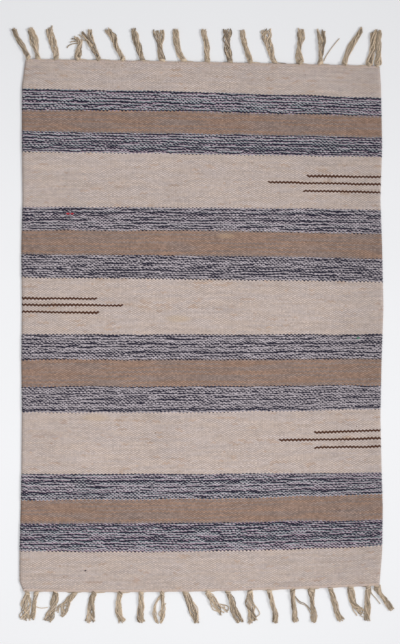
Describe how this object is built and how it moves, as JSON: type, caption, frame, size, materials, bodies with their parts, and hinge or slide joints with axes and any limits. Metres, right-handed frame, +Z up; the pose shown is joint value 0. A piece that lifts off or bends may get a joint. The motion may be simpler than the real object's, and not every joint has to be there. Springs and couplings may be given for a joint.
{
  "type": "kilim rug",
  "caption": "Small striped flat-woven cotton rug lying flat, with knotted warp tassels along both ends.",
  "frame": {"origin": "middle of the cloth, on its flat underside", "axes": "+X along the weft to the right selvedge, +Y along the warp to the top end, +Z up out of the patterned face"},
  "size_m": [0.6298, 0.9876, 0.0047],
  "materials": {
    "cloth": "weft-faced plain weave of ecru, tan and marled grey-navy cotton",
    "warp_yarn": "undyed twisted cotton yarn, knotted and loose"
  },
  "bodies": {
    "root": {"rug": "cloth", "tassel_top_01": "warp_yarn", "tassel_top_02": "warp_yarn", "tassel_top_03": "warp_yarn", "tassel_top_04": "warp_yarn", "tassel_top_05": "warp_yarn", "tassel_top_06": "warp_yarn", "tassel_top_07": "warp_yarn", "tassel_top_08": "warp_yarn", "tassel_top_09": "warp_yarn", "tassel_top_10": "warp_yarn", "tassel_top_11": "warp_yarn", "tassel_top_12": "warp_yarn", "tassel_top_13": "warp_yarn", "tassel_top_14": "warp_yarn", "tassel_top_15": "warp_yarn", "tassel_top_16": "warp_yarn", "tassel_top_17": "warp_yarn", "tassel_top_18": "warp_yarn", "tassel_bottom_01": "warp_yarn", "tassel_bottom_02": "warp_yarn", "tassel_bottom_03": "warp_yarn", "tassel_bottom_04": "warp_yarn", "tassel_bottom_05": "warp_yarn", "tassel_bottom_06": "warp_yarn", "tassel_bottom_07": "warp_yarn", "tassel_bottom_08": "warp_yarn", "tassel_bottom_09": "warp_yarn", "tassel_bottom_10": "warp_yarn", "tassel_bottom_11": "warp_yarn", "tassel_bottom_12": "warp_yarn", "tassel_bottom_13": "warp_yarn", "tassel_bottom_14": "warp_yarn", "tassel_bottom_15": "warp_yarn", "tassel_bottom_16": "warp_yarn", "tassel_bottom_17": "warp_yarn", "tassel_bottom_18": "warp_yarn", "tassel_bottom_19": "warp_yarn"}
  },
  "joints": []
}
